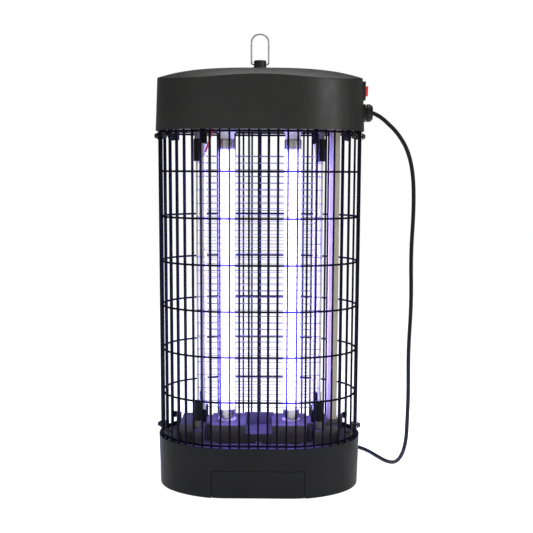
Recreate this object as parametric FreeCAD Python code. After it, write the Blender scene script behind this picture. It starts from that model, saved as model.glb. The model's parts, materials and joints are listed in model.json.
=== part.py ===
import FreeCAD, Part
import math
import os

# Electric insect killer: two ultraviolet tube lamps inside a high-voltage wire
# grid, a welded wire guard, a domed top housing with the electrics and a base
# with a pull-out catch drawer.
#
# Frame: millimetres, +Z up. The origin is the centre of the flat underside of
# the base. -Y is the front (drawer side), +X is the side with the switch and
# the cable gland.

os.makedirs("parts", exist_ok=True)
V = FreeCAD.Vector

# ---------------------------------------------------------------- dimensions
# plan outline of the guard: straight front and back, a long arc beside each
# straight stretch and a tighter nose arc at each end
FLAT = 46.5            # half length of the straight stretch
HALF_DEPTH = 83.0      # outline centreline, front to middle
END_LEN = 107.0        # from the end of the straight stretch to the nose
ARC = 39.0             # degrees turned by the long arc
_c, _s = math.cos(math.radians(ARC)), math.sin(math.radians(ARC))
R_LONG = (HALF_DEPTH * (1 - _s) - END_LEN * _c) / ((1 - _c) * (1 - _s) - _c * _s)
R_NOSE = (HALF_DEPTH - R_LONG * (1 - _c)) / _c
N_BARS = 56            # guard bars around the outline
BAR_D = 3.0
RING_D = 3.1
RING_OFF = -3.1       # ring centreline inside the bar centreline
RING_Z = [145.8, 214.0, 282.4, 350.8, 419.1, 487.4]
END_RING_Z = [79.2, 545.6]
BAR_Z0, BAR_Z1 = 72.7, 550.7

# base
BASE_H = 77.4
BASE_OFF_TOP, BASE_OFF_BOT = 4.5, 2.5
WALL = 2.6
BASE_FLOOR = 2.5
DECK_Z = 72.4          # top of the deck
DECK_T = 2.6
ISLAND_X, ISLAND_Y, ISLAND_Z = 123.0, 34.0, 97.3
NOTCH_X, NOTCH_Z, NOTCH_Y1 = 20.5, 83.6, 17.5
SLOT_X0, SLOT_X1, SLOT_Y0, SLOT_Y1 = 4.3, 64.5, 35.5, 46.0

# drawer
DRW_X, DRW_TOP = 70.0, 43.0
TRAY_X, TRAY_Y0, TRAY_Y1, TRAY_Z0, TRAY_Z1 = 66.0, -79.0, 62.0, 3.2, 38.0

# top housing
H_BOT = 548.0
H_OFF = 5.0            # outline offset at the lower edge
H_TAPER = 0.0418       # offset lost per mm of height
H_WALL = 2.6
DOME_Z = 642.1
FLOOR_Z0, FLOOR_Z1 = 551.0, 554.0

# hanger
BOSS_R, BOSS_TOP = 9.4, 653.7
LOOP_D, LOOP_X, LOOP_PIVOT, LOOP_TOP = 2.5, 13.0, 648.0, 694.0

# switch and gland on the +X end
SW_Z, SW_H, SW_W, SW_X0, SW_X1 = 608.5, 28.0, 22.0, 155.3, 159.3
GL_Z, GL_X0 = 576.1, 156.3

# lamps
LAMP_X = 50.7
CAP_Z0, CAP_Z1, CAP_H, CAP_R, TUBE_R = 100.2, 536.2, 14.8, 12.95, 12.7

# grid
POST_R = 2.2
OUT_X, OUT_Y = 93.5, 27.0
IN_X, IN_Y = 85.5, 14.0
WIRE_R = 0.55
WIRE_Z0, WIRE_DZ, N_WIRES = 510.2, 10.13, 39
WIRE_Y = OUT_Y + POST_R + WIRE_R + 0.02
BEND_X = 76.3

CORD_D = 6.2


def out(shape, name):
    shape.exportStep("parts/" + name + ".step")
    print("%-22s solids %3d  volume %10.1f  valid %s" % (
        name, len(shape.Solids), sum(s.Volume for s in shape.Solids), shape.isValid()))


def group(solids):
    return Part.makeCompound(solids)


def cyl(r, h, p, d=V(0, 0, 1)):
    return Part.makeCylinder(r, h, p, d)


def box(x0, x1, y0, y1, z0, z1):
    return Part.makeBox(x1 - x0, y1 - y0, z1 - z0, V(x0, y0, z0))


def tube(ro, ri, h, p, d=V(0, 0, 1)):
    u = V(d.x, d.y, d.z)
    u.normalize()
    return cyl(ro, h, p, d).cut(cyl(ri, h + 2, p - u, d))


# ------------------------------------------------- the outline and its offsets
def outline_point(s, off=0.0):
    """point at arc length s (of the offset-0 outline) from the front centre towards +X,
    with its outward normal; s may run over the whole perimeter"""
    al = math.radians(ARC)
    l1 = FLAT
    l2 = l1 + R_LONG * al
    l3 = l2 + R_NOSE * (math.pi - 2 * al)
    l4 = l3 + R_LONG * al
    l5 = l4 + 2 * FLAT
    half = 2 * FLAT + 2 * R_LONG * al + R_NOSE * (math.pi - 2 * al)
    full = 2 * half
    s = s % full
    mirror = False
    if s > half:
        s = full - s
        mirror = True
    yc = -(depth_half()) + R_LONG
    xc = nose_x()
    if s <= l1:
        x, y, nx, ny = s, -depth_half(), 0.0, -1.0
    elif s <= l2:
        t = (s - l1) / R_LONG
        nx, ny = math.sin(t), -math.cos(t)
        x, y = FLAT + R_LONG * nx, yc + R_LONG * ny
    elif s <= l3:
        t = al + (s - l2) / R_NOSE
        nx, ny = math.sin(t), -math.cos(t)
        x, y = xc + R_NOSE * nx, R_NOSE * ny
    elif s <= l4:
        t = math.pi - al + (s - l3) / R_LONG
        nx, ny = math.sin(t), -math.cos(t)
        x, y = FLAT + R_LONG * nx, -yc + R_LONG * ny
    else:
        x, y, nx, ny = FLAT - (s - l4), depth_half(), 0.0, 1.0
    if mirror:
        x, nx = -x, -nx
    return x + off * nx, y + off * ny, nx, ny


def depth_half():
    al = math.radians(ARC)
    return R_LONG * (1 - math.cos(al)) + R_NOSE * math.cos(al)


def nose_x():
    return FLAT + (R_LONG - R_NOSE) * math.sin(math.radians(ARC))


def perimeter():
    al = math.radians(ARC)
    return 2 * (2 * FLAT + 2 * R_LONG * al + R_NOSE * (math.pi - 2 * al))


def outline(off, z):
    """closed wire of the outline offset by off at height z"""
    al = math.radians(ARC)
    rl, rn = R_LONG + off, R_NOSE + off
    b = depth_half() + off
    yc = -(depth_half()) + R_LONG
    xc = nose_x()

    def lp(cx, cy, r, t, sx=1):
        return V(sx * (cx + r * math.sin(t)), cy - r * math.cos(t), z)

    e = []
    A = V(-FLAT, -b, z)
    B = V(FLAT, -b, z)
    e.append(Part.LineSegment(A, B).toShape())
    C = lp(FLAT, yc, rl, al)
    e.append(Part.Arc(B, lp(FLAT, yc, rl, al / 2), C).toShape())
    D = lp(xc, 0, rn, math.pi - al)
    e.append(Part.Arc(C, lp(xc, 0, rn, math.pi / 2), D).toShape())
    E = V(FLAT, b, z)
    e.append(Part.Arc(D, lp(FLAT, -yc, rl, math.pi - al / 2), E).toShape())
    G = V(-FLAT, b, z)
    e.append(Part.LineSegment(E, G).toShape())
    H = V(-D.x, D.y, z)
    e.append(Part.Arc(G, lp(FLAT, -yc, rl, math.pi - al / 2, -1), H).toShape())
    I = V(-C.x, C.y, z)
    e.append(Part.Arc(H, lp(xc, 0, rn, math.pi / 2, -1), I).toShape())
    e.append(Part.Arc(I, lp(FLAT, yc, rl, al / 2, -1), A).toShape())
    return Part.Wire(e)


def prism(off, z0, z1):
    return Part.Face(outline(off, z0)).extrude(V(0, 0, z1 - z0))


def taper(off0, z0, off1, z1):
    return Part.makeLoft([outline(off0, z0), outline(off1, z1)], True, True)


# ------------------------------------------------------------------ the dome
def dome_z(x, y):
    ax = abs(x)
    e = 16.9 + 7.6 * (ax / 100.0) ** 2
    return DOME_Z - 15.0 * (ax / 155.0) ** 3.3 - e * (y / 85.3) ** 2


def dome_tool(drop):
    """everything below the dome surface lowered by drop"""
    nx, ny = 33, 17
    pts = []
    for i in range(nx):
        x = -176.0 + 352.0 * i / (nx - 1)
        pts.append([V(x, -100.0 + 200.0 * j / (ny - 1),
                      dome_z(x, -100.0 + 200.0 * j / (ny - 1)) - drop) for j in range(ny)])
    s = Part.BSplineSurface()
    s.interpolate(pts)
    return s.toShape().extrude(V(0, 0, -220.0))


def h_off(z):
    return H_OFF - H_TAPER * (z - H_BOT)


# --------------------------------------------------------------- top housing
outer = taper(h_off(H_BOT), H_BOT, h_off(665.0), 665.0).common(dome_tool(0.0))
try:
    crease = [e for e in outer.Edges
              if e.BoundBox.ZMin > 600 and e.BoundBox.ZMax < 640
              and (e.BoundBox.XLength > 8 or e.BoundBox.YLength > 8)]
    outer_f = outer.makeFillet(2.2, crease)
    if outer_f.isValid() and len(outer_f.Solids) == 1:
        outer = outer_f
    else:
        print("crease fillet left out: invalid")
except Exception as err:
    print("crease fillet left out:", err)
inner = taper(h_off(H_BOT - 2) - H_WALL, H_BOT - 2, h_off(665.0) - H_WALL, 665.0).common(dome_tool(3.0))
housing = outer.cut(inner)
# seat and cut-out for the rocker switch
housing = housing.cut(box(SW_X0 - 0.05, 175, -SW_W / 2 - 0.3, SW_W / 2 + 0.3, SW_Z - SW_H / 2 - 0.3, SW_Z + SW_H / 2 + 0.3))
housing = housing.cut(box(140, 175, -9.2, 9.2, SW_Z - 12.2, SW_Z + 12.2))
# seat and hole for the cable gland
housing = housing.cut(cyl(14.2, 20, V(GL_X0 - 0.05, 0, GL_Z), V(1, 0, 0)))
housing = housing.cut(cyl(10.2, 40, V(140, 0, GL_Z), V(1, 0, 0)))
# hole for the hanger stud
housing = housing.cut(cyl(5.3, 40, V(0, 0, 625)))
# screw pillars that the floor plate is fixed to
FLOOR_SCREWS = [(112.0, 40.0), (112.0, -40.0), (-112.0, 40.0), (-112.0, -40.0)]
pill = None
for (x, y) in FLOOR_SCREWS:
    c = tube(4.5, 1.6, dome_z(x, y) - FLOOR_Z1 - 1.6, V(x, y, FLOOR_Z1 + 0.1))
    housing = housing.fuse(c)
housing = housing.removeSplitter() if housing.isValid() else housing
out(housing, "top_housing")

# ------------------------------------------------------------- housing floor
floor_plate = prism(h_off(FLOOR_Z0) - H_WALL - 0.25, FLOOR_Z0, FLOOR_Z1)
# clamp ears for the guard, three at each end
S_UNIT = perimeter() / N_BARS
SCREW_S = [13.5, 10.5, 17.5]


def end_positions():
    res = []
    for k in SCREW_S:
        for sgn in (1, -1):
            x, y, nx, ny = outline_point(sgn * k * S_UNIT)
            res.append((x, y, nx, ny))
    return res


def ear(x, y, nx, ny, z0, z1, hz):
    """small upright block inside the guard with a pilot hole for the guard screw"""
    b = Part.makeBox(4.0, 7.8, z1 - z0, V(-8.8, -3.9, z0))
    b = b.cut(cyl(1.5, 12, V(-11, 0, hz), V(1, 0, 0)))
    b.rotate(V(0, 0, 0), V(0, 0, 1), math.degrees(math.atan2(ny, nx)))
    b.translate(V(x, y, 0))
    return b


TOP_SCREW_Z, BOT_SCREW_Z = 540.6, 90.8
for p in end_positions():
    floor_plate = floor_plate.fuse(ear(*p, 536.0, FLOOR_Z0 + 0.5, TOP_SCREW_Z))
# openings for the tube holders, posts, conduit and the high-voltage lead
for sx in (-1, 1):
    floor_plate = floor_plate.cut(cyl(9.5, 10, V(sx * LAMP_X, 0, 548)))
for (x, y) in FLOOR_SCREWS:
    floor_plate = floor_plate.cut(cyl(2.2, 10, V(x, y, 548)))
floor_plate = floor_plate.cut(cyl(2.4, 10, V(-70.2, -16, 548)))
floor_plate = floor_plate.cut(box(109, 119, -18, 4, 548, 558))
floor_plate = floor_plate.removeSplitter()
out(floor_plate, "housing_floor")


def pan_screw(p, d, head_r, head_h, shank_r, shank_l, washer_r=0, washer_t=0):
    """pan-head screw; p is the seat of the head, d points out of the seat"""
    u = V(d.x, d.y, d.z)
    u.normalize()
    s = cyl(shank_r, shank_l, p - u * shank_l, u)
    base = p
    if washer_r:
        s = s.fuse(cyl(washer_r, washer_t, p, u))
        base = p + u * washer_t
    prof = Part.makeCone(head_r, head_r * 0.62, head_h, base, u)
    s = s.fuse(prof)
    # cross recess
    top = base + u * head_h
    r = Part.makeCone(0.9, 0.3, head_h * 0.45, top, u * -1)
    s = s.cut(r)
    return s


out(group([pan_screw(V(x, y, FLOOR_Z0), V(0, 0, -1), 3.6, 2.4, 1.55, 16) for (x, y) in FLOOR_SCREWS]), "floor_screws")

# -------------------------------------------------------------------- hanger
boss = cyl(BOSS_R, BOSS_TOP - 643.6, V(0, 0, 643.6))
boss = boss.fuse(cyl(BOSS_R + 1.6, 643.6 - 630.0, V(0, 0, 630.0)).cut(dome_tool(-0.15)))
boss = boss.makeFillet(1.4, [e for e in boss.Edges if abs(e.BoundBox.ZMin - BOSS_TOP) < 0.01 and abs(e.BoundBox.ZMax - BOSS_TOP) < 0.01])
boss = boss.fuse(cyl(5.0, 30, V(0, 0, 622.0)))
boss = boss.cut(cyl(LOOP_D / 2 + 0.06, 7.4, V(-BOSS_R - 1, 0, LOOP_PIVOT), V(1, 0, 0)))
boss = boss.cut(cyl(LOOP_D / 2 + 0.06, 7.4, V(BOSS_R + 1, 0, LOOP_PIVOT), V(-1, 0, 0)))
out(boss, "hanger_boss")

hexa = Part.Face(Part.makePolygon([V(8.5 * math.cos(math.radians(60 * k)), 8.5 * math.sin(math.radians(60 * k)), 0) for k in range(7)]))
nut = hexa.extrude(V(0, 0, 6)).cut(cyl(5.03, 10, V(0, 0, -2)))
nut.translate(V(0, 0, 628.3))
washer = tube(13.0, 5.3, 1.6, V(0, 0, 634.5))
out(nut, "hanger_nut")
out(washer, "hanger_washer")

# wire loop: two short ends in the boss, two legs and a half-round top
zc = LOOP_TOP - LOOP_D / 2 - LOOP_X
rb = 3.0
pz = LOOP_PIVOT


def loop_half(sx):
    return [
        (V(sx * 5.0, 0, pz), V(sx * (LOOP_X - rb), 0, pz), None),
        (V(sx * (LOOP_X - rb), 0, pz), V(sx * LOOP_X, 0, pz + rb),
         V(sx * (LOOP_X - rb + rb * math.sin(math.pi / 4)), 0, pz + rb - rb * math.cos(math.pi / 4))),
        (V(sx * LOOP_X, 0, pz + rb), V(sx * LOOP_X, 0, zc), None)]


edges = []
for a, b, m in loop_half(-1):
    edges.append(Part.LineSegment(a, b).toShape() if m is None else Part.Arc(a, m, b).toShape())
edges.append(Part.Arc(V(-LOOP_X, 0, zc), V(0, 0, zc + LOOP_X), V(LOOP_X, 0, zc)).toShape())
for a, b, m in reversed(loop_half(1)):
    edges.append(Part.LineSegment(b, a).toShape() if m is None else Part.Arc(b, m, a).toShape())
path = Part.Wire(edges)
prof = Part.Wire([Part.makeCircle(LOOP_D / 2, V(-5.0, 0, pz), V(-1, 0, 0))])
loop = path.makePipeShell([prof], True, False)
out(loop, "hanger_loop")

# -------------------------------------------------------------------- switch
bz = box(SW_X0, SW_X1, -SW_W / 2, SW_W / 2, SW_Z - SW_H / 2, SW_Z + SW_H / 2)
bz = bz.makeFillet(1.6, [e for e in bz.Edges if e.BoundBox.XLength > 3])
bz = bz.makeFillet(0.7, [e for e in bz.Edges if e.BoundBox.XMin > SW_X1 - 0.01])
bz = bz.fuse(box(138.5, SW_X0, -9.0, 9.0, SW_Z - 12.0, SW_Z + 12.0))
bz = bz.cut(box(150.0, SW_X1 + 1, -6.3, 6.3, SW_Z - 8.4, SW_Z + 8.4))
bz = bz.cut(cyl(1.26, 16.0, V(156.8, -8.0, SW_Z), V(0, 1, 0)))
out(bz, "switch_body")
tabs = [box(130.5, 138.5, -3.2, 3.2, SW_Z + dz - 0.4, SW_Z + dz + 0.4) for dz in (-8, 0, 8)]
out(group(tabs), "switch_terminals")

# the rocker, tilted to its on position, with its two pivot stubs
RX = 156.8
rk = Part.Face(Part.makePolygon([V(RX - 2.6, 0, SW_Z - 6.2), V(RX + 6.5, 0, SW_Z - 7.5), V(RX + 6.1, 0, SW_Z),
                                 V(RX + 6.5, 0, SW_Z + 7.5), V(RX - 2.6, 0, SW_Z + 6.2), V(RX - 2.6, 0, SW_Z - 6.2)]))
rk = rk.extrude(V(0, 12.0, 0))
rk.translate(V(0, -6.0, 0))
rk = rk.makeFillet(0.7, [e for e in rk.Edges if e.BoundBox.XMin > RX + 6.4])
rk = rk.fuse(cyl(1.2, 15.0, V(RX, -7.5, SW_Z), V(0, 1, 0)))
ROCKER_TILT = 3.0
rk.rotate(V(RX, 0, SW_Z), V(0, 1, 0), ROCKER_TILT)
out(rk, "rocker")

# --------------------------------------------------------------- cable gland
gb = Part.Face(Part.makePolygon([V(GL_X0, 13.6 * math.cos(math.radians(60 * k + 30)), GL_Z + 13.6 * math.sin(math.radians(60 * k + 30))) for k in range(7)])).extrude(V(4.2, 0, 0))
gb = gb.common(Part.makeCone(12.4, 15.0, 4.2, V(GL_X0, 0, GL_Z), V(1, 0, 0)))
gb = gb.fuse(cyl(9.9, 15.0, V(GL_X0 - 15.0, 0, GL_Z), V(1, 0, 0)))
gb = gb.fuse(cyl(9.6, 5.2, V(GL_X0 + 4.2, 0, GL_Z), V(1, 0, 0)))
gb = gb.cut(cyl(6.6, 40, V(GL_X0 - 20, 0, GL_Z), V(1, 0, 0)))
out(gb, "gland_body")
gx = GL_X0 + 5.7
gn = cyl(13.3, 5.0, V(gx, 0, GL_Z), V(1, 0, 0)).fuse(Part.makeCone(13.3, 10.4, 3.7, V(gx + 5.0, 0, GL_Z), V(1, 0, 0)))
flats = None
for k in range(12):
    a = math.radians(30 * k)
    g = cyl(1.1, 5.0, V(gx - 0.1, 13.9 * math.cos(a), GL_Z + 13.9 * math.sin(a)), V(1, 0, 0))
    gn = gn.cut(g)
gn = gn.cut(cyl(9.7, 4.7, V(gx - 0.1, 0, GL_Z), V(1, 0, 0)))
gn = gn.cut(Part.makeCone(7.4, 4.95, 4.2, V(gx + 4.55, 0, GL_Z), V(1, 0, 0)))
out(gn, "gland_nut")
# rubber sleeve that grips the cord, tapered where it leaves the nut
sl = Part.makeCone(6.5, 6.5001, 14.0, V(GL_X0 - 8.0, 0, GL_Z), V(1, 0, 0))
sl = sl.fuse(Part.makeCone(6.5, 4.5, 9.4, V(GL_X0 + 6.0, 0, GL_Z), V(1, 0, 0)))
sl = sl.cut(cyl(CORD_D / 2 + 0.05, 40, V(GL_X0 - 12, 0, GL_Z), V(1, 0, 0)))
out(sl, "gland_sleeve")
GL_FACE = GL_X0 + 15.4
ln = Part.Face(Part.makePolygon([V(148.5, 13.4 * math.cos(math.radians(60 * k)), GL_Z + 13.4 * math.sin(math.radians(60 * k))) for k in range(7)])).extrude(V(4.6, 0, 0))
ln = ln.cut(cyl(9.95, 10, V(146, 0, GL_Z), V(1, 0, 0)))
out(ln, "gland_locknut")


# ---------------------------------------------------------------- cord helper
def rounded_tube(points, dia, name):
    """round tube along straight runs joined by tangent arcs; the arc at a point has
    the radius 0.45 of its shorter run over the tangent of half the turn"""
    pts = [V(*p) for p in points]
    edges = []
    prev = pts[0]
    radii = []
    total = 0.0
    for i in range(1, len(pts) - 1):
        a, b, c = pts[i - 1], pts[i], pts[i + 1]
        u = (b - a)
        w = (c - b)
        la, lb = u.Length, w.Length
        u.normalize()
        w.normalize()
        turn = u.getAngle(w)
        t = 0.45 * min(la, lb)
        r = t / math.tan(turn / 2)
        radii.append(round(r, 1))
        p1 = b - u * t
        p2 = b + w * t
        n = w - u
        n.normalize()
        mid = b + n * (r / math.cos(turn / 2) - r)
        edges.append(Part.LineSegment(prev, p1).toShape())
        edges.append(Part.Arc(p1, mid, p2).toShape())
        total += (p1 - prev).Length + r * turn
        prev = p2
    edges.append(Part.LineSegment(prev, pts[-1]).toShape())
    total += (pts[-1] - prev).Length
    w = Part.Wire(edges)
    d0 = pts[1] - pts[0]
    d0.normalize()
    prof = Part.Wire([Part.makeCircle(dia / 2, pts[0], d0)])
    t = w.makePipeShell([prof], True, False)
    vol = sum(s.Volume for s in t.Solids)
    print(name, "length %.1f" % total, "volume ratio %.4f" % (vol / (total * math.pi * dia * dia / 4)),
          "radii", radii, "least radius in diameters %.1f" % (min(radii) / dia))
    return t, total


# the power cord from the gland, hanging at the side, along the surface behind the base
COIL = (60.0, 140.0)       # centre of the coil on the surface
COIL_Z = 4.3               # centreline height of its lower turns
CORD = [
    (168.9, 0.0, 577.25), (181.6, 0.0, 572.0), (194.4, 0.0, 561.2), (210.2, -0.5, 545.9),
    (226.0, -1.0, 520.6), (235.2, -0.5, 483.8), (237.4, 1.0, 430.0), (234.6, 2.5, 360.0),
    (237.2, 1.0, 285.0), (234.2, 3.0, 208.0), (236.4, 5.0, 142.0), (236.0, 8.0, 92.0),
    (235.4, 10.5, 60.0), (231.2, 20.5, 32.5), (223.4, 40.5, 12.4), (212.4, 68.5, 4.6),
    (200.6, 99.5, 3.2), (186.4, 131.0, 3.2), (162.0, 157.6, 3.2), (130.0, 173.0, 3.4),
    (110.0, 177.2, 4.3), (90.0, 177.2, 4.3)]
cord, cord_len = rounded_tube(CORD, CORD_D, "power_cord")
cord = cord.cut(box(150, GL_FACE, -10, 10, 560, 590))
out(cord, "power_cord")

# the coil: the closed outer shape of three turns and its two tangent ends
CZ0, CZ1 = COIL_Z - CORD_D / 2, COIL_Z + 5.4 + CORD_D / 2
ring = cyl(40.4, CZ1 - CZ0, V(COIL[0], COIL[1], CZ0)).cut(cyl(27.8, 40, V(COIL[0], COIL[1], CZ0 - 5)))
ring = ring.makeFillet(2.6, ring.Edges[0:0] + [e for e in ring.Edges if e.BoundBox.XLength > 40 and e.BoundBox.ZLength < 0.01])
stub_in = cyl(CORD_D / 2, 30.0, V(COIL[0], COIL[1] + 37.2, COIL_Z), V(1, 0, 0))
PLUG_Z = 18.1
tail0 = V(COIL[0], COIL[1] + 34.0, COIL_Z + 5.4)
tail1 = V(COIL[0] - 34.0, COIL[1] + 34.0, PLUG_Z)
td = tail1 - tail0
stub_out = cyl(CORD_D / 2, td.Length + 3.0, tail0, td)
coil = ring.fuse(stub_in).fuse(stub_out).removeSplitter()
coil = coil.cut(box(tail1.x - 40, tail1.x, tail1.y - 20, tail1.y + 20, -5, 60))
out(coil, "cord_coil")

# tie around the coil
tie = box(COIL[0] - 5, COIL[0] + 5, COIL[1] - 41.8, COIL[1] - 26.1, 0.1, CZ1 + 1.3)
tie = tie.cut(box(COIL[0] - 6, COIL[0] + 6, COIL[1] - 40.95, COIL[1] - 26.95, 0.95, CZ1 + 0.35))
out(tie, "cord_tie")

# moulded earthed plug lying beside the coil
ux = V(td.x, td.y, td.z)
ux.normalize()
px, py = tail1.x, tail1.y
pd = V(-1, 0, 0)
bt = Part.makeCone(4.6, 8.0, 26.6, V(px, py, PLUG_Z), pd)
plug = bt.fuse(Part.makeCone(8.0, 16.5, 8.0, V(px - 26.6, py, PLUG_Z), pd))
plug = plug.fuse(cyl(18.0, 24.0, V(px - 34.6, py, PLUG_Z), pd))
front_x = px - 58.6
for sy in (-1, 1):
    plug = plug.cut(box(front_x - 1, front_x + 17, py + sy * 16.4 - (0 if sy > 0 else 3), py + sy * 16.4 + (3 if sy > 0 else 0), PLUG_Z - 4.0, PLUG_Z + 4.0))
out(plug, "plug_body")
pins = []
for s in (-1, 1):
    pin = cyl(2.4, 18.6, V(front_x - 0.02, py + 9.5 * s, PLUG_Z), pd)
    tip = front_x - 18.62
    pins.append(pin.makeFillet(1.7, [e for e in pin.Edges if abs(e.BoundBox.XMin - tip) < 0.01 and e.BoundBox.XLength < 0.01]))
out(group(pins), "plug_pins")

# ---------------------------------------------------------- electrics inside
core = box(-30, 30, -26, 26, FLOOR_Z1 + 0.2, FLOOR_Z1 + 50).cut(box(-20, -10, -30, 30, FLOOR_Z1 + 10, FLOOR_Z1 + 40)).cut(box(10, 20, -30, 30, FLOOR_Z1 + 10, FLOOR_Z1 + 40))
out(core, "transformer_core")
coilw = box(-19.7, 19.7, -36, 36, FLOOR_Z1 + 10.3, FLOOR_Z1 + 39.7).cut(box(-10.3, 10.3, -26.3, 26.3, FLOOR_Z1 + 5, FLOOR_Z1 + 45))
coilw = coilw.cut(box(-10.3, 10.3, -26.3, 26.3, FLOOR_Z1, FLOOR_Z1 + 60))
out(coilw, "transformer_winding")
bal = []
for s in (-1, 1):
    b = box(s * 68 - 28, s * 68 + 28, 18, 56, FLOOR_Z1 + 0.2, FLOOR_Z1 + 28)
    b = b.makeFillet(2.0, [e for e in b.Edges if e.BoundBox.XLength > 50])
    bal.append(b)
out(group(bal), "ballasts")
sock, star = [], []
for s in (-1, 1):
    x = s * 68
    sock.append(cyl(13.5, 9.0, V(x, -44, FLOOR_Z1 + 0.2)).cut(cyl(10.9, 6.0, V(x, -44, FLOOR_Z1 + 3.4))))
    st = cyl(10.6, 34.0, V(x, -44, FLOOR_Z1 + 3.6))
    star.append(st.makeFillet(1.5, [e for e in st.Edges if e.BoundBox.ZMin > FLOOR_Z1 + 37]))
out(group(sock), "starter_sockets")
out(group(star), "starters")
tb = box(124, 140, -21, 21, FLOOR_Z1 + 0.2, FLOOR_Z1 + 12)
for k in (-1, 0, 1):
    tb = tb.cut(cyl(2.6, 8, V(132, 13.0 * k, FLOOR_Z1 + 7.0)))
out(tb, "terminal_block")
inner_cord, _ = rounded_tube([(GL_FACE, 0, GL_Z), (147.5, 0, GL_Z), (134, 1, GL_Z + 1), (122, 3, GL_Z - 1), (108.5, 6, GL_Z - 6.5)], 5.7, "mains_lead_inside")
out(inner_cord, "mains_lead_inside")
cond_wire, _ = rounded_tube([(114, -7, 90.0), (114, -7, 170.0), (113.6, -6.7, 320), (114.2, -7.2, 470), (114, -7, 556), (111, -12, 572), (100, -22, 580), (88, -30, 578)], 4.2, "conduit_wires")
out(cond_wire, "conduit_wires")

# ---------------------------------------------------------------- tube holders
th, bh = [], []
for s in (-1, 1):
    x = s * LAMP_X
    h = cyl(13.6, 5.0, V(x, 0, FLOOR_Z0 - 5.1)).fuse(cyl(11.6, 9.6, V(x, 0, CAP_Z1 + 0.3)))
    h = h.fuse(cyl(9.2, 22.0, V(x, 0, CAP_Z1 + 0.3)))
    h = h.cut(tube(8.2, 4.4, 9.4, V(x, 0, CAP_Z1 + 0.2)))
    th.append(h)
    h = cyl(13.8, 2.0, V(x, 0, ISLAND_Z + 0.1)).fuse(cyl(11.6, 20.0, V(x, 0, CAP_Z0 - 20.3)))
    h = h.fuse(cyl(11.6, 2.4, V(x, 0, ISLAND_Z + 0.1)))
    h = h.cut(tube(8.2, 4.4, 9.4, V(x, 0, CAP_Z0 - 9.6)))
    bh.append(h)
out(group(th), "lampholders_top")
out(group(bh), "lampholders_bottom")

# ----------------------------------------------------------------------- lamps
for s, side in ((-1, "left"), (1, "right")):
    x = s * LAMP_X
    g = tube(TUBE_R, TUBE_R - 0.8, CAP_Z1 - CAP_Z0 - 2 * CAP_H, V(x, 0, CAP_Z0 + CAP_H))
    out(g, "lamp_glass_" + side)
    caps = []
    for z0, up in ((CAP_Z0, 1), (CAP_Z1, -1)):
        c = cyl(CAP_R, CAP_H - 0.02, V(x, 0, z0), V(0, 0, up))
        rim = [e for e in c.Edges if e.BoundBox.ZLength < 0.01 and abs(e.BoundBox.ZMin - z0) < 0.01]
        c = c.makeFillet(1.6, rim)
        caps.append(c)
    out(group(caps), "lamp_caps_" + side)
    pn = []
    for z0, up in ((CAP_Z0, -1), (CAP_Z1, 1)):
        for k in (-1, 1):
            pn.append(cyl(1.17, 7.1, V(x + 6.35 * k, 0, z0), V(0, 0, up)))
    out(group(pn), "lamp_pins_" + side)

# ------------------------------------------------------------------------ grid
SLV_TOP = (502.6, 535.6)
SLV_BOT = (103.8, 134.4)
SEAT_Z = 91.5          # seats of the corner posts, below the island's top
posts, inner_posts, sleeves, caps_in, nuts = [], [], [], [], []
for sx in (-1, 1):
    for sy in (-1, 1):
        x, y = sx * OUT_X, sy * OUT_Y
        posts.append(cyl(POST_R, FLOOR_Z0 - SEAT_Z - 0.4, V(x, y, SEAT_Z + 0.2)))
        sleeves.append(tube(5.2, POST_R + 0.05, SLV_TOP[1] - SLV_TOP[0], V(x, y, SLV_TOP[0])))
        sleeves.append(tube(6.7, POST_R + 0.05, SLV_BOT[1] - SLV_BOT[0], V(x, y, SLV_BOT[0])))
        f = tube(3.9, POST_R + 0.05, FLOOR_Z0 - SLV_TOP[1] - 0.4, V(x, y, SLV_TOP[1] + 0.2))
        nuts.append(f.fuse(tube(5.4, POST_R + 0.05, 7.4, V(x, y, FLOOR_Z0 - 7.6))).removeSplitter())
        nuts.append(tube(6.7, POST_R + 0.05, SLV_BOT[0] - SEAT_Z - 0.4, V(x, y, SEAT_Z + 0.2)))
        x, y = sx * IN_X, sy * IN_Y
        inner_posts.append(cyl(POST_R, FLOOR_Z0 - ISLAND_Z - 0.4, V(x, y, ISLAND_Z + 0.2)))
        caps_in.append(tube(3.9, POST_R + 0.05, FLOOR_Z0 - 529.8, V(x, y, 529.6)))
        caps_in.append(tube(3.9, POST_R + 0.05, 117.0 - ISLAND_Z - 0.4, V(x, y, ISLAND_Z + 0.2)))
out(group(posts), "grid_posts_outer")
out(group(inner_posts), "grid_posts_inner")
out(group(sleeves), "insulator_sleeves")
out(group(caps_in), "insulator_caps")
out(group(nuts), "post_ferrules")

for sy, face in ((-1, "front"), (1, "back")):
    wa, wb, ends = [], [], []
    for n in range(N_WIRES):
        z = WIRE_Z0 - n * WIRE_DZ
        if n % 2:
            wa.append(cyl(WIRE_R, 2 * OUT_X + 3.0, V(-OUT_X - 1.5, sy * WIRE_Y, z), V(1, 0, 0)))
        else:
            wb.append(cyl(WIRE_R, 2 * BEND_X, V(-BEND_X, sy * WIRE_Y, z), V(1, 0, 0)))
            for sx in (-1, 1):
                p0 = V(sx * (BEND_X + 0.35), sy * (WIRE_Y - 0.35), z)
                p1 = V(sx * (IN_X - 1.47), sy * (IN_Y + 2.35), z)
                ends.append(cyl(WIRE_R, (p1 - p0).Length, p0, p1 - p0))
    out(group(wa), "grid_wires_earth_" + face)
    out(group(wb), "grid_wires_live_" + face)
    out(group(ends), "grid_wire_ends_" + face)

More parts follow.
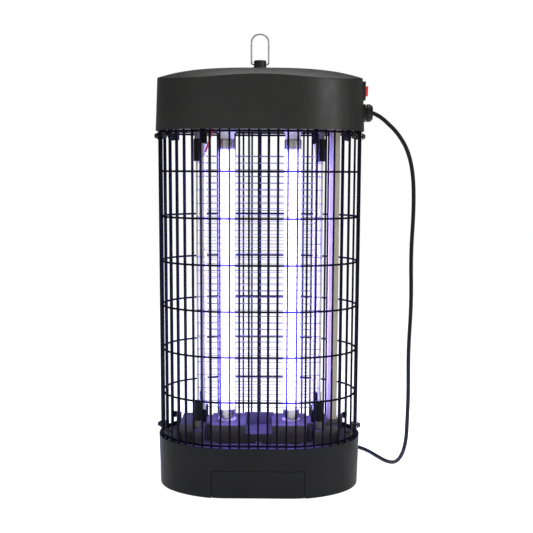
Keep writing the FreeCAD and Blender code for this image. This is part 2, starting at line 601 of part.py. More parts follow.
# ------------------------------------------------ high-voltage lead and its lug
lead, _ = rounded_tube([(-69.6, -16, 575.0), (-69.9, -16, 553.0), (-75.4, -16.4, 535.5), (-81.9, -16.8, 516.2)], 3.0, "hv_lead")
out(lead, "hv_lead")
lug = Part.makeBox(7.7, 0.8, 2.2, V(0, -0.4, -1.1))
lug.rotate(V(0, 0, 0), V(0, 1, 0), 48.7)
lug.rotate(V(0, 0, 0), V(0, 0, 1), 180.0)
lug.translate(V(-82.9, -16.67, 514.4))
out(lug, "hv_lug")

# --------------------------------------------------------------- wiring conduit
CX0, CX1, CY0, CY1 = 107.0, 121.0, -22.0, 8.0
cp = [V(CX0, CY1, 0), V(CX0, -14.5, 0), V(CX0 + 6.5, CY0, 0), V(CX1, CY0, 0), V(CX1, CY1, 0), V(CX0, CY1, 0)]
ci = [V(CX0 + 1.5, CY1 - 1.5, 0), V(CX0 + 1.5, -13.9, 0), V(CX0 + 7.1, CY0 + 1.5, 0), V(CX1 - 1.5, CY0 + 1.5, 0), V(CX1 - 1.5, CY1 - 1.5, 0), V(CX0 + 1.5, CY1 - 1.5, 0)]
cond = Part.Face(Part.makePolygon(cp)).extrude(V(0, 0, FLOOR_Z0 - 0.3 - ISLAND_Z - 0.3))
cond = cond.cut(Part.Face(Part.makePolygon(ci)).extrude(V(0, 0, 600)))
cond.translate(V(0, 0, ISLAND_Z + 0.3))
out(cond, "wiring_conduit")

# ------------------------------------------------------------------------ guard
bars = []
for k in range(N_BARS):
    x, y, nx, ny = outline_point(k * S_UNIT)
    bars.append(cyl(BAR_D / 2, BAR_Z1 - BAR_Z0, V(x, y, BAR_Z0)))
out(group(bars), "guard_bars")


def ring_solid(z):
    w = outline(RING_OFF, z)
    st = w.Edges[0].Vertexes[0].Point
    prof = Part.Wire([Part.makeCircle(RING_D / 2, V(0, -(depth_half() + RING_OFF), z), V(1, 0, 0))])
    # start in the middle of the straight stretch so the joint lies on a plane face
    es = w.Edges
    a = V(0, -(depth_half() + RING_OFF), z)
    e0 = Part.LineSegment(a, V(FLAT, a.y, z)).toShape()
    e1 = Part.LineSegment(V(-FLAT, a.y, z), a).toShape()
    w2 = Part.Wire([e0] + es[1:] + [e1])
    return w2.makePipeShell([prof], True, False)


out(group([ring_solid(z) for z in RING_Z]), "guard_rings")
out(ring_solid(END_RING_Z[1]), "guard_top_ring")
out(ring_solid(END_RING_Z[0]), "guard_bottom_ring")
gs = []
for z in (TOP_SCREW_Z, BOT_SCREW_Z):
    for (x, y, nx, ny) in end_positions():
        gs.append(pan_screw(V(x + nx * 1.55, y + ny * 1.55, z), V(nx, ny, 0), 4.4, 4.0, 1.47, 9.6, 5.25, 1.4))
out(group(gs), "guard_screws")

# ------------------------------------------------------------------------- base
base_outer = taper(BASE_OFF_BOT, 0, BASE_OFF_TOP, BASE_H)
bo = base_outer
inner_b = taper(BASE_OFF_BOT - WALL + 0.06, BASE_FLOOR, BASE_OFF_TOP - WALL + 0.05, BASE_H + 1.9)
base = base_outer.cut(inner_b)
# opening for the drawer front
base = base.cut(box(-DRW_X, DRW_X, -95, -78.6, -1, DRW_TOP))
# rails beside the drawer
for s in (-1, 1):
    base = base.fuse(box(s * 68.5 - 1.0, s * 68.5 + 1.0, -76.5, 66.0, BASE_FLOOR - 0.5, 16.0))
base = base.fuse(box(-50, 50, 63.5, 66.0, BASE_FLOOR - 0.5, 12.0))
# deck ledge pillars
DECK_SCREWS = [(104.0, 48.0), (104.0, -48.0), (-104.0, 48.0), (-104.0, -48.0)]
for (x, y) in DECK_SCREWS:
    base = base.fuse(tube(4.5, 1.5, DECK_Z - DECK_T - 0.15 - BASE_FLOOR + 0.5, V(x, y, BASE_FLOOR - 0.5)))
base = base.removeSplitter()
out(base, "base_shell")

deck = prism(BASE_OFF_TOP - WALL - 0.35, DECK_Z - DECK_T, DECK_Z)
isl = box(-ISLAND_X, ISLAND_X, -ISLAND_Y, ISLAND_Y, DECK_Z - 1, ISLAND_Z)
isl = isl.makeFillet(6.0, [e for e in isl.Edges if e.BoundBox.ZLength > 10])
isl = isl.makeFillet(1.5, [e for e in isl.Edges if e.BoundBox.ZMin > ISLAND_Z - 0.01])
hollow = box(-ISLAND_X + 2.5, ISLAND_X - 2.5, -ISLAND_Y + 2.5, ISLAND_Y - 2.5, DECK_Z - 10, ISLAND_Z - 2.5)
deck = deck.fuse(isl).cut(hollow)
# seats of the corner posts: blocks that stand out of the island, with sunk tops
for sx in (-1, 1):
    for sy in (-1, 1):
        deck = deck.cut(box(min(sx * 85.6, sx * 101.4), max(sx * 85.6, sx * 101.4),
                            min(sy * 19.4, sy * 50), max(sy * 19.4, sy * 50), SEAT_Z, ISLAND_Z + 5))
        seat = box(min(sx * 84.2, sx * 102.8), max(sx * 84.2, sx * 102.8),
                   min(sy * 18.0, sy * 43.0), max(sy * 18.0, sy * 43.0), DECK_Z - 0.5, SEAT_Z)
        seat = seat.makeFillet(2.0, [e for e in seat.Edges if e.BoundBox.ZLength > 10 and abs(e.BoundBox.YMin) > 40])
        deck = deck.fuse(seat)
        # open pocket between the seat and the middle of the island, with a sloping rib
        deck = deck.fuse(box(min(sx * 72.6, sx * 86.0), max(sx * 72.6, sx * 86.0), min(sy * 18.0, sy * (ISLAND_Y - 0.5)),
                             max(sy * 18.0, sy * (ISLAND_Y - 0.5)), DECK_Z - 0.5, ISLAND_Z - 2.0))
        deck = deck.cut(box(min(sx * 74.8, sx * 84.2), max(sx * 74.8, sx * 84.2),
                            min(sy * 20.5, sy * 50), max(sy * 20.5, sy * 50), DECK_Z, ISLAND_Z + 5))
        rib = Part.Face(Part.makePolygon([V(0, sy * 19.5, DECK_Z - 0.5), V(0, sy * 31.0, DECK_Z - 0.5), V(0, sy * 31.0, DECK_Z + 3.0),
                                          V(0, sy * 19.5, ISLAND_Z - 3.0), V(0, sy * 19.5, DECK_Z - 0.5)])).extrude(V(2.0, 0, 0))
        for k in (77.0, 80.6):
            r = rib.copy()
            r.translate(V(k if sx > 0 else -k - 2.0, 0, 0))
            deck = deck.fuse(r)
# central notch with a floor, side walls and a back wall
deck = deck.cut(box(-NOTCH_X, NOTCH_X, -ISLAND_Y - 1, NOTCH_Y1, NOTCH_Z, ISLAND_Z + 10))
deck = deck.fuse(box(-NOTCH_X - 2.5, NOTCH_X + 2.5, -ISLAND_Y, NOTCH_Y1 + 3, NOTCH_Z - 2.5, NOTCH_Z))
for s in (-1, 1):
    deck = deck.fuse(box(s * (NOTCH_X + 1.25) - 1.25, s * (NOTCH_X + 1.25) + 1.25, -ISLAND_Y + 1, NOTCH_Y1 + 3, NOTCH_Z - 2.5, ISLAND_Z - 1.0))
deck = deck.fuse(box(-NOTCH_X - 2.5, NOTCH_X + 2.5, NOTCH_Y1, NOTCH_Y1 + 3, NOTCH_Z - 2.5, 102.8))
# catch slots, front and back
for sx in (-1, 1):
    for sy in (-1, 1):
        sb = box(min(sx * SLOT_X0, sx * SLOT_X1), max(sx * SLOT_X0, sx * SLOT_X1),
                 min(sy * SLOT_Y0, sy * SLOT_Y1), max(sy * SLOT_Y0, sy * SLOT_Y1), DECK_Z - 8, DECK_Z + 3)
        sb = sb.makeFillet(3.0, [e for e in sb.Edges if e.BoundBox.ZLength > 5])
        deck = deck.cut(sb)
# holes for the tube holders and the conduit, socket around the conduit
for sx in (-1, 1):
    deck = deck.cut(cyl(11.8, 20, V(sx * LAMP_X, 0, ISLAND_Z - 8)))
sk = box(CX0 - 2.4, CX1 + 2.0, CY0 - 2.4, CY1 + 2.4, ISLAND_Z - 1.5, ISLAND_Z + 7.0)
sk = sk.cut(box(CX0 - 0.3, CX1 + 0.3, CY0 - 0.3, CY1 + 0.3, ISLAND_Z, ISLAND_Z + 9.0))
deck = deck.fuse(sk)
deck = deck.cut(box(110.5, 117.5, -11, -3, ISLAND_Z - 10, ISLAND_Z + 3))
# ears for the lower guard screws
for p in end_positions():
    deck = deck.fuse(ear(*p, DECK_Z - 1.0, 95.4, BOT_SCREW_Z))
for (x, y) in DECK_SCREWS:
    deck = deck.cut(cyl(1.9, 10, V(x, y, DECK_Z - 6)))
deck = deck.removeSplitter()
out(deck, "base_deck")
out(group([pan_screw(V(x, y, DECK_Z + 0.02), V(0, 0, 1), 3.5, 2.2, 1.45, 14) for (x, y) in DECK_SCREWS]), "deck_screws")

# ----------------------------------------------------------------------- drawer
GAP = 0.75
front = bo.common(box(-DRW_X + GAP, DRW_X - GAP, -95, TRAY_Y0 + 0.4, 0.6, DRW_TOP - GAP))
tray = box(-TRAY_X, TRAY_X, TRAY_Y0, TRAY_Y1, TRAY_Z0, TRAY_Z1)
tray = tray.makeFillet(5.0, [e for e in tray.Edges if e.BoundBox.ZLength > 10 and e.BoundBox.YMin > 0])
tin = box(-TRAY_X + 2, TRAY_X - 2, TRAY_Y0 + 2, TRAY_Y1 - 2, TRAY_Z0 + 2, TRAY_Z1 + 5)
tin = tin.makeFillet(3.5, [e for e in tin.Edges if e.BoundBox.ZLength > 10])
tray = tray.cut(tin)
drawer = front.fuse(tray).removeSplitter()
out(drawer, "drawer")

print("outline depth", 2 * depth_half(), "width", 2 * (nose_x() + R_NOSE), "bar pitch", S_UNIT)
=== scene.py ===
import json
import math
import random

import bmesh
import bpy
import numpy as np
from mathutils import Matrix, Vector


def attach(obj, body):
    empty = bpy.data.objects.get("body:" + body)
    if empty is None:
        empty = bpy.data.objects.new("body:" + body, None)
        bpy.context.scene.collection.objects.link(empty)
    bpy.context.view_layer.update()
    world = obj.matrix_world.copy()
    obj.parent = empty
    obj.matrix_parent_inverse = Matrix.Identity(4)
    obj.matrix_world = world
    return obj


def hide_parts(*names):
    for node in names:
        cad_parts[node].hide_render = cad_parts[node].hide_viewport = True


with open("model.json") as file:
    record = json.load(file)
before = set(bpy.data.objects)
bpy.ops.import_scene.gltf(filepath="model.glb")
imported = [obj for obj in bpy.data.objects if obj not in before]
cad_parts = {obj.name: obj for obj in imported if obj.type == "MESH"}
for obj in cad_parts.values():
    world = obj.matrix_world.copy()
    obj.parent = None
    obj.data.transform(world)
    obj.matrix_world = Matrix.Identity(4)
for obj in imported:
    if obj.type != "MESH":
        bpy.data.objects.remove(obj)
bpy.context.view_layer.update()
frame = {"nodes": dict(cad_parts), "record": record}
random.seed(7)
MM = 0.001
NODES = frame["nodes"]
COLL = bpy.context.scene.collection

# ------------------------------------------------------------------- camera
cam_data = bpy.data.cameras.new("camera")
cam_data.lens = 829.73 * 36.0 / 533.0
cam_data.sensor_width = 36.0
cam_data.clip_start = 0.05
cam_data.clip_end = 30.0
cam = bpy.data.objects.new("camera", cam_data)
COLL.objects.link(cam)
cam.matrix_world = (Matrix.Translation((0.02248, -1.28031, 0.48810))
                    @ Matrix.Rotation(math.radians(0.52), 4, "Z")
                    @ Matrix.Rotation(math.radians(90 - 6.56), 4, "X")
                    @ Matrix.Rotation(math.radians(0.22), 4, "Z"))
bpy.context.scene.camera = cam


# ------------------------------------------------------------ shader helpers
def material(name):
    m = bpy.data.materials.new(name)
    m.use_nodes = True
    nt = m.node_tree
    bsdf = nt.nodes["Principled BSDF"]
    return m, nt, bsdf


def coords(nt, scale=1.0):
    tc = nt.nodes.new("ShaderNodeTexCoord")
    if scale == 1.0:
        return tc.outputs["Object"]
    mp = nt.nodes.new("ShaderNodeMapping")
    mp.inputs["Scale"].default_value = (scale,) * 3 if not isinstance(scale, tuple) else scale
    nt.links.new(tc.outputs["Object"], mp.inputs["Vector"])
    return mp.outputs["Vector"]


def noise(nt, vec, scale, detail=3.0, rough=0.55):
    n = nt.nodes.new("ShaderNodeTexNoise")
    n.inputs["Scale"].default_value = scale
    n.inputs["Detail"].default_value = detail
    n.inputs["Roughness"].default_value = rough
    nt.links.new(vec, n.inputs["Vector"])
    return n.outputs["Fac"]


def ramp(nt, fac, stops):
    r = nt.nodes.new("ShaderNodeValToRGB")
    el = r.color_ramp.elements
    while len(el) < len(stops):
        el.new(0.5)
    for e, (p, c) in zip(el, stops):
        e.position = p
        e.color = (c[0], c[1], c[2], 1.0) if not isinstance(c, float) else (c, c, c, 1.0)
    nt.links.new(fac, r.inputs["Fac"])
    return r.outputs["Color"]


def bump(nt, bsdf, height, strength, dist):
    b = nt.nodes.new("ShaderNodeBump")
    b.inputs["Strength"].default_value = strength
    b.inputs["Distance"].default_value = dist
    nt.links.new(height, b.inputs["Height"])
    nt.links.new(b.outputs["Normal"], bsdf.inputs["Normal"])
    return b


def srgb(*c):
    return tuple(((v / 255.0) / 12.92 if v / 255.0 <= 0.04045 else ((v / 255.0 + 0.055) / 1.055) ** 2.4) for v in c)


def plastic(name, rgb, rough=0.5, grain=2600.0, grain_bump=0.25, dust=0.12, spec=0.4):
    """moulded plastic: fine spark-eroded grain, faint flow mottling and settled dust"""
    m, nt, b = material(name)
    v = coords(nt)
    c = srgb(*rgb)
    mott = noise(nt, v, 14.0, 4.0)
    hi = tuple(min(1.0, x * (1.0 + dust) + 0.002) for x in c)
    lo = tuple(x * (1.0 - dust) for x in c)
    nt.links.new(ramp(nt, mott, [(0.35, lo), (0.68, hi)]), b.inputs["Base Color"])
    fine = noise(nt, v, grain, 2.0, 0.6)
    r = noise(nt, v, 60.0, 4.0)
    nt.links.new(ramp(nt, r, [(0.3, rough - 0.05), (0.7, rough + 0.06)]), b.inputs["Roughness"])
    b.inputs["Specular IOR Level"].default_value = spec
    bump(nt, b, fine, grain_bump, 0.00012)
    return m


def metal(name, rgb, rough=0.3, stretch=(300.0, 300.0, 8.0), strength=0.1, metallic=1.0):
    """drawn or plated metal with fine lengthwise marks"""
    m, nt, b = material(name)
    v = coords(nt, stretch)
    c = srgb(*rgb)
    n = noise(nt, v, 1.0, 5.0, 0.6)
    nt.links.new(ramp(nt, n, [(0.25, tuple(x * 0.8 for x in c)), (0.75, tuple(min(1, x * 1.1) for x in c))]), b.inputs["Base Color"])
    nt.links.new(ramp(nt, n, [(0.3, max(0.05, rough - 0.08)), (0.7, rough + 0.1)]), b.inputs["Roughness"])
    b.inputs["Metallic"].default_value = metallic
    bump(nt, b, n, strength, 0.00008)
    return m


MAT = {}
MAT["housing_plastic"] = plastic("housing_plastic", (31, 32, 30), 0.42, 2400.0, 0.3, 0.06, 0.35)
MAT["base_plastic"] = plastic("base_plastic", (20, 21, 22), 0.50, 2400.0, 0.3, 0.06, 0.15)
MAT["deck_plastic"] = plastic("deck_plastic", (78, 76, 80), 0.40, 2000.0, 0.25, 0.10, 0.5)
MAT["boss_black"] = plastic("boss_black", (26, 27, 27), 0.45)
MAT["switch_black"] = plastic("switch_black", (24, 24, 25), 0.28, 1500.0, 0.08, 0.05)
MAT["gland_black"] = plastic("gland_black", (11, 11, 12), 0.42, 1500.0, 0.15, 0.1, 0.3)
MAT["insulator_black"] = plastic("insulator_black", (8, 8, 9), 0.42, 1800.0, 0.15, 0.15, 0.15)
MAT["ferrule_grey"] = plastic("ferrule_grey", (96, 97, 92), 0.42, 1500.0, 0.1, 0.08)
MAT["holder_white"] = plastic("holder_white", (226, 224, 228), 0.35, 1500.0, 0.08, 0.03)
MAT["starter_white"] = plastic("starter_white", (230, 228, 220), 0.35, 1500.0, 0.08, 0.03)
MAT["ballast_case"] = plastic("ballast_case", (205, 205, 203), 0.35, 900.0, 0.1, 0.04)
MAT["conduit_beige"] = plastic("conduit_beige", (192, 186, 164), 0.42, 1500.0, 0.1, 0.05)
MAT["gland_rubber"] = plastic("gland_rubber", (20, 20, 20), 0.6, 1500.0, 0.2, 0.15)
MAT["cord_black"] = plastic("cord_black", (10, 10, 12), 0.45, 1300.0, 0.12, 0.15, 0.2)
MAT["plug_black"] = plastic("plug_black", (20, 20, 21), 0.48, 1600.0, 0.2, 0.12)
MAT["tie_black"] = plastic("tie_black", (20, 20, 21), 0.35, 1600.0, 0.1, 0.12)
MAT["wire_grey"] = plastic("wire_grey", (120, 120, 122), 0.45)
MAT["lead_red"] = plastic("lead_red", (178, 14, 30), 0.35, 1200.0, 0.08, 0.10)
MAT["laminated_iron"] = metal("laminated_iron", (96, 96, 100), 0.42, (10.0, 2600.0, 10.0), 0.5, 0.8)
MAT["copper_winding"] = metal("copper_winding", (150, 78, 34), 0.35, (4.0, 4.0, 2200.0), 0.6, 0.9)
MAT["zinc_steel"] = metal("zinc_steel", (178, 178, 174), 0.30)
MAT["hanger_wire"] = metal("hanger_wire", (170, 170, 168), 0.30, (500.0, 500.0, 30.0), 0.08)
MAT["tin_brass"] = metal("tin_brass", (196, 190, 170), 0.3)
MAT["pin_brass"] = metal("pin_brass", (200, 172, 104), 0.28)
MAT["pin_nickel"] = metal("pin_nickel", (200, 198, 190), 0.18)
MAT["grid_steel"] = metal("grid_steel", (126, 129, 120), 0.34, (60.0, 900.0, 900.0), 0.08, 0.5)
MAT["post_steel"] = metal("post_steel", (205, 209, 186), 0.36, (900.0, 900.0, 30.0), 0.08, 0.3)
MAT["lamp_cap"] = metal("lamp_cap", (205, 203, 196), 0.26, (700.0, 700.0, 20.0), 0.06)
MAT["screw_black"] = metal("screw_black", (26, 26, 27), 0.38, (300.0, 300.0, 300.0), 0.15, 0.4)


def coat_black():
    """black powder coat with orange peel on the guard wires; the violet tint of its base colour is painted violet tube
    light
    """
    m, nt, b = material("guard_black")
    v = coords(nt)
    n = noise(nt, v, 900.0, 2.0)
    # painted light: the violet tint in this near-black colour stands in for the tubes' violet light falling on the
    # black coat
    c = srgb(8, 5, 20)
    nt.links.new(ramp(nt, noise(nt, v, 40.0), [(0.3, tuple(x * 0.7 for x in c)), (0.7, tuple(x * 1.5 for x in c))]), b.inputs["Base Color"])
    b.inputs["Roughness"].default_value = 0.48
    b.inputs["Specular IOR Level"].default_value = 0.07
    bump(nt, b, n, 0.25, 0.0002)
    return m


MAT["guard_black"] = coat_black()


def rocker_mat():
    m, nt, b = material("rocker_red")
    v = coords(nt)
    c = srgb(200, 36, 30)
    nt.links.new(ramp(nt, noise(nt, v, 90.0, 3.0), [(0.3, tuple(x * 0.85 for x in c)), (0.7, c)]), b.inputs["Base Color"])
    b.inputs["Roughness"].default_value = 0.22
    b.inputs["Coat Weight"].default_value = 0.3
    b.inputs["Emission Color"].default_value = (*srgb(215, 40, 30), 1.0)
    b.inputs["Emission Strength"].default_value = 0.25
    return m


MAT["rocker_red"] = rocker_mat()


def lamp_mat():
    """phosphor tube: bright in the middle, bluer and dimmer at the two ends"""
    m, nt, b = material("lamp_glass")
    tc = nt.nodes.new("ShaderNodeTexCoord")
    sep = nt.nodes.new("ShaderNodeSeparateXYZ")
    nt.links.new(tc.outputs["Object"], sep.inputs["Vector"])
    mr = nt.nodes.new("ShaderNodeMapRange")
    mr.inputs["From Min"].default_value = 0.115
    mr.inputs["From Max"].default_value = 0.5215
    nt.links.new(sep.outputs["Z"], mr.inputs["Value"])
    col = ramp(nt, mr.outputs["Result"], [(0.0, (0.40, 0.46, 1.0)), (0.06, (0.62, 0.76, 1.0)), (0.5, (0.68, 0.82, 1.0)),
                                         (0.95, (0.62, 0.76, 1.0)), (1.0, (0.40, 0.46, 1.0))])
    nt.links.new(col, b.inputs["Emission Color"])
    b.inputs["Base Color"].default_value = (0.25, 0.3, 0.4, 1.0)
    nz = noise(nt, tc.outputs["Object"], 25.0, 2.0)
    nt.links.new(ramp(nt, nz, [(0.3, 0.16), (0.7, 0.24)]), b.inputs["Roughness"])
    b.inputs["Emission Strength"].default_value = 1.12
    return m


MAT["lamp_glass"] = lamp_mat()

SLOT = {s["node"]: s["material_slot"] for s in frame["record"]["subparts"]}


def dress(obj, mat):
    obj.data.materials.clear()
    obj.data.materials.append(mat)


for name, obj in NODES.items():
    key = SLOT[name]
    if name.startswith("grid_posts"):
        key = "post_steel"
    dress(obj, MAT[key])


def smooth_cad(obj, angle=35.0):
    for p in obj.data.polygons:
        p.use_smooth = True
    try:
        obj.data.set_sharp_from_angle(angle=math.radians(angle))
    except Exception:
        pass


for name, obj in NODES.items():
    smooth_cad(obj)


# -------------------------------------------------------------- mesh helpers
def new_mesh(name, bm, mat, body="frame", replaces=(), smooth=35.0):
    me = bpy.data.meshes.new(name)
    bm.normal_update()
    bm.to_mesh(me)
    bm.free()
    o = bpy.data.objects.new(name, me)
    COLL.objects.link(o)
    me.materials.append(mat)
    for p in me.polygons:
        p.use_smooth = True
    me.set_sharp_from_angle(angle=math.radians(smooth))
    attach(o, body)
    if replaces:
        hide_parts(*replaces)
    return o


def curve_tube(name, pts, radius, mat, body="frame", cyclic=False, resolution=6, bevel=5, order=3):
    cu = bpy.data.curves.new(name, "CURVE")
    cu.dimensions = "3D"
    cu.bevel_depth = radius
    cu.bevel_resolution = bevel
    cu.use_fill_caps = True
    cu.resolution_u = resolution
    sp = cu.splines.new("NURBS")
    sp.points.add(len(pts) - 1)
    for p, q in zip(sp.points, pts):
        p.co = (q[0], q[1], q[2], 1.0)
    sp.order_u = order
    sp.use_endpoint_u = not cyclic
    sp.use_cyclic_u = cyclic
    o = bpy.data.objects.new(name, cu)
    COLL.objects.link(o)
    cu.materials.append(mat)
    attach(o, body)
    return o


# --------------------------------------------------------------------- cord
ROUTE = [
    (171.7, 0.0, 576.1), (181.6, 0.0, 572.0), (194.4, 0.0, 561.2), (210.2, -0.5, 545.9),
    (226.0, -1.0, 520.6), (235.2, -0.5, 483.8), (237.4, 1.0, 430.0), (234.6, 2.5, 360.0),
    (237.2, 1.0, 285.0), (234.2, 3.0, 208.0), (236.4, 5.0, 142.0), (236.0, 8.0, 92.0),
    (235.4, 10.5, 60.0), (231.2, 20.5, 32.5), (223.4, 40.5, 12.4), (212.4, 68.5, 4.6),
    (200.6, 99.5, 3.2), (186.4, 131.0, 3.2), (162.0, 157.6, 3.2), (130.0, 173.0, 3.4),
    (110.0, 177.2, 4.3), (90.0, 177.2, 4.3)]
CX, CY, CZ = 60.0, 140.0, 4.3
turns = []
STEP = 16
# first turn outside, second inside, third on top between the two; anticlockwise from above
total_turns = 3
n_pts = STEP * total_turns
for i in range(0, n_pts + 1):
    t = i / STEP
    if t < 0.88:
        r, z = 37.2, CZ
    elif t < 1.12:
        u = (t - 0.88) / 0.24
        r, z = 37.2 - 6.3 * u, CZ
    elif t < 1.80:
        r, z = 30.9, CZ
    elif t < 2.06:
        u = (t - 1.80) / 0.26
        r, z = 30.9 + 3.2 * u, CZ + 5.4 * u
    else:
        r, z = 34.1, CZ + 5.4
    a = math.radians(90.0) + 2 * math.pi * t
    turns.append((CX + r * math.cos(a) / math.cos(math.pi / STEP) ** 0.5, CY + r * math.sin(a) / math.cos(math.pi / STEP) ** 0.5, z))
TAIL = [(47.0, 174.9, 10.6), (36.0, 174.2, 15.8), (25.0, 174.0, 18.1), (22.0, 174.0, 18.1)]
path = [Vector(p) * MM for p in ROUTE] + [Vector((76.0, 177.2, 4.3)) * MM] + [Vector(p) * MM for p in turns] + [Vector(p) * MM for p in TAIL]
flex = curve_tube("power_flex", path, 0.0031, MAT["cord_black"], resolution=8, bevel=6)
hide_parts("power_cord", "cord_coil")


def spline_length(points):
    """length of the order-3 spline through the route's control points"""
    cu = bpy.data.curves.new("probe", "CURVE")
    cu.dimensions = "3D"
    cu.resolution_u = 8
    sp = cu.splines.new("NURBS")
    sp.points.add(len(points) - 1)
    for p, q in zip(sp.points, points):
        p.co = (*q, 1.0)
    sp.order_u = 3
    sp.use_endpoint_u = True
    ob = bpy.data.objects.new("probe", cu)
    COLL.objects.link(ob)
    me = bpy.data.meshes.new_from_object(ob)
    co = [v.co.copy() for v in me.vertices]
    bpy.data.objects.remove(ob)
    bpy.data.curves.remove(cu)
    bpy.data.meshes.remove(me)
    return sum((co[i + 1] - co[i]).length for i in range(len(co) - 1))


CORD_LEN = spline_length(path)
print("cord length", CORD_LEN)

# -------------------------------------------------- weld nuggets on the guard
def outline_point(s, off=0.0):
    """point and normal at arc length s from the front centre of the guard's outline"""
    flat, hd, el, al = 46.5, 83.0, 107.0, math.radians(39.0)
    c, sn = math.cos(al), math.sin(al)
    rl = (hd * (1 - sn) - el * c) / ((1 - c) * (1 - sn) - c * sn)
    rn = (hd - rl * (1 - c)) / c
    l1 = flat
    l2 = l1 + rl * al
    l3 = l2 + rn * (math.pi - 2 * al)
    l4 = l3 + rl * al
    half = l4 + flat
    s = s % (2 * half)
    m = 1.0
    if s > half:
        s, m = 2 * half - s, -1.0
    if s <= l1:
        x, y, nx, ny = s, -hd, 0.0, -1.0
    elif s <= l2:
        t = (s - l1) / rl
        nx, ny = math.sin(t), -math.cos(t)
        x, y = flat + rl * nx, -hd + rl + rl * ny
    elif s <= l3:
        t = al + (s - l2) / rn
        nx, ny = math.sin(t), -math.cos(t)
        x, y = flat + (rl - rn) * sn + rn * nx, rn * ny
    elif s <= l4:
        t = math.pi - al + (s - l3) / rl
        nx, ny = math.sin(t), -math.cos(t)
        x, y = flat + rl * nx, hd - rl + rl * ny
    else:
        x, y, nx, ny = flat - (s - l4), hd, 0.0, 1.0
    return m * (x + off * nx), y + off * ny, m * nx, ny, 2 * half


PER = outline_point(0.0)[4]
ring_z = []
for nm in sorted(n for n in NODES if n.startswith("guard_ring")):
    zs = sorted({round(v.co.z, 4) for v in NODES[nm].data.vertices})
    grp = [[zs[0]]]
    for z in zs[1:]:
        if z - grp[-1][-1] > 0.01:
            grp.append([z])
        else:
            grp[-1].append(z)
    ring_z += [(g[0] + g[-1]) / 2 for g in grp]
bm = bmesh.new()
rng = random.Random(11)
for z in ring_z:
    for k in range(56):
        x, y, nx, ny, _ = outline_point(k * PER / 56, -1.35)
        f = rng.uniform(0.85, 1.15)
        M = (Matrix.Translation((x * MM, y * MM, z + rng.uniform(-0.0001, 0.0001)))
             @ Matrix.Rotation(math.atan2(ny, nx), 4, "Z")
             @ Matrix.Diagonal((0.0010 * f, 0.00155 * f, 0.00145, 1.0)))
        bmesh.ops.create_icosphere(bm, subdivisions=2, radius=1.0, matrix=M)
welds = new_mesh("guard_welds", bm, MAT["guard_black"], smooth=80)

# ------------------------------------------------------------ floor and light
scene = bpy.context.scene
floor_me = bpy.data.meshes.new("floor")
floor_me.from_pydata([(-6, -6, 0), (6, -6, 0), (6, 6, 0), (-6, 6, 0)], [], [(0, 1, 2, 3)])
floor = bpy.data.objects.new("floor", floor_me)
COLL.objects.link(floor)
fm, fnt, fb = material("floor_white")
fb.inputs["Base Color"].default_value = (0.93, 0.93, 0.93, 1)
fb.inputs["Roughness"].default_value = 0.75
fb.inputs["Emission Color"].default_value = (1, 1, 1, 1)
fb.inputs["Emission Strength"].default_value = 0.81
floor_me.materials.append(fm)
floor.location.z = -0.0002

scene.view_settings.view_transform = "Standard"
scene.view_settings.look = "None"
world = bpy.data.worlds.new("world")
scene.world = world
world.use_nodes = True
wn = world.node_tree
bg = wn.nodes["Background"]
bg.inputs["Color"].default_value = (1.0, 1.0, 1.0, 1.0)
lp = wn.nodes.new("ShaderNodeLightPath")
wc = wn.nodes.new("ShaderNodeTexCoord")
ws = wn.nodes.new("ShaderNodeSeparateXYZ")
wn.links.new(wc.outputs["Generated"], ws.inputs["Vector"])
wb = wn.nodes.new("ShaderNodeMapRange")
wb.inputs["From Min"].default_value = -0.75
wb.inputs["From Max"].default_value = 0.1
wb.inputs["To Min"].default_value = 0.42
wb.inputs["To Max"].default_value = 0.14
wn.links.new(ws.outputs["Y"], wb.inputs["Value"])
wr = wn.nodes.new("ShaderNodeMapRange")
wr.inputs["To Max"].default_value = 1.0
wn.links.new(wb.outputs["Result"], wr.inputs["To Min"])
wn.links.new(lp.outputs["Is Camera Ray"], wr.inputs["Value"])
wn.links.new(wr.outputs["Result"], bg.inputs["Strength"])


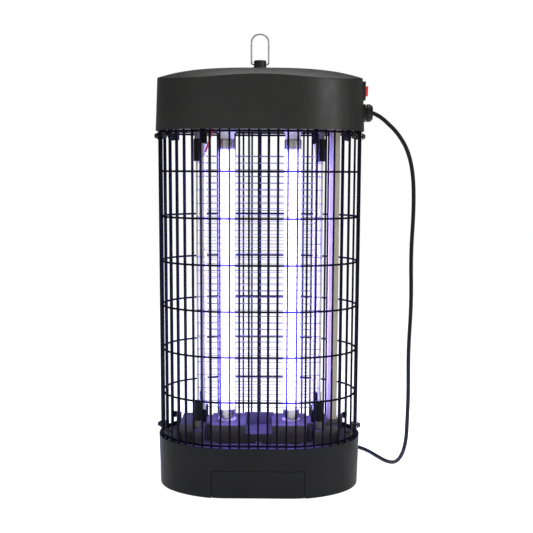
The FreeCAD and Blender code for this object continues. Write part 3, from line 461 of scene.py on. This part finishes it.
def area(name, loc, target, size, power, color=(1, 1, 1), size_y=None, spread=None):
    l = bpy.data.lights.new(name, "AREA")
    l.energy = power
    l.color = color
    l.size = size
    if size_y:
        l.shape = "RECTANGLE"
        l.size_y = size_y
    if spread:
        l.spread = spread
    o = bpy.data.objects.new(name, l)
    COLL.objects.link(o)
    o.location = loc
    d = Vector(target) - Vector(loc)
    o.rotation_mode = "QUATERNION"
    o.rotation_quaternion = d.to_track_quat("-Z", "Y")
    return o


area("key", (1.45, -1.1, 1.0), (0.05, 0, 0.40), 0.45, 9)
area("fill", (-1.0, -1.5, 0.9), (0, 0, 0.4), 0.9, 0.8)
area("top", (0.1, 0.25, 1.7), (0, 0, 0.6), 1.0, 11)
# violet light thrown by the tubes
for sx in (-1, 1):
    l = bpy.data.lights.new("lamp_glow_%d" % sx, "AREA")
    l.shape = "RECTANGLE"
    l.size, l.size_y = 0.03, 0.40
    l.energy = 2.0
    l.color = (0.30, 0.20, 1.0)
    for k, ang in enumerate((0, 90, 180, 270)):
        o = bpy.data.objects.new("lamp_glow_%d_%d" % (sx, k), l)
        COLL.objects.link(o)
        o.visible_camera = False
        o.visible_glossy = False
        a = math.radians(ang)
        o.matrix_world = (Matrix.Translation((sx * 0.0507 + 0.0140 * math.sin(a), -0.0140 * math.cos(a), 0.318))
                          @ Matrix.Rotation(a, 4, "Z") @ Matrix.Rotation(math.radians(90), 4, "X"))

# soft glare round the bright tubes
scene.use_nodes = True
ct = scene.node_tree
ct.nodes.clear()
rl = ct.nodes.new("CompositorNodeRLayers")
gl = ct.nodes.new("CompositorNodeGlare")
gl.glare_type = "BLOOM"
for key, val in (("Threshold", 1.02), ("Strength", 0.16), ("Size", 0.02), ("Smoothness", 0.1)):
    if key in gl.inputs:
        gl.inputs[key].default_value = val
if "Tint" in gl.inputs:
    gl.inputs["Tint"].default_value = (0.35, 0.35, 1.0, 1.0)
co = ct.nodes.new("CompositorNodeComposite")
ct.links.new(rl.outputs["Image"], gl.inputs["Image"])
ct.links.new(gl.outputs["Image"], co.inputs["Image"])
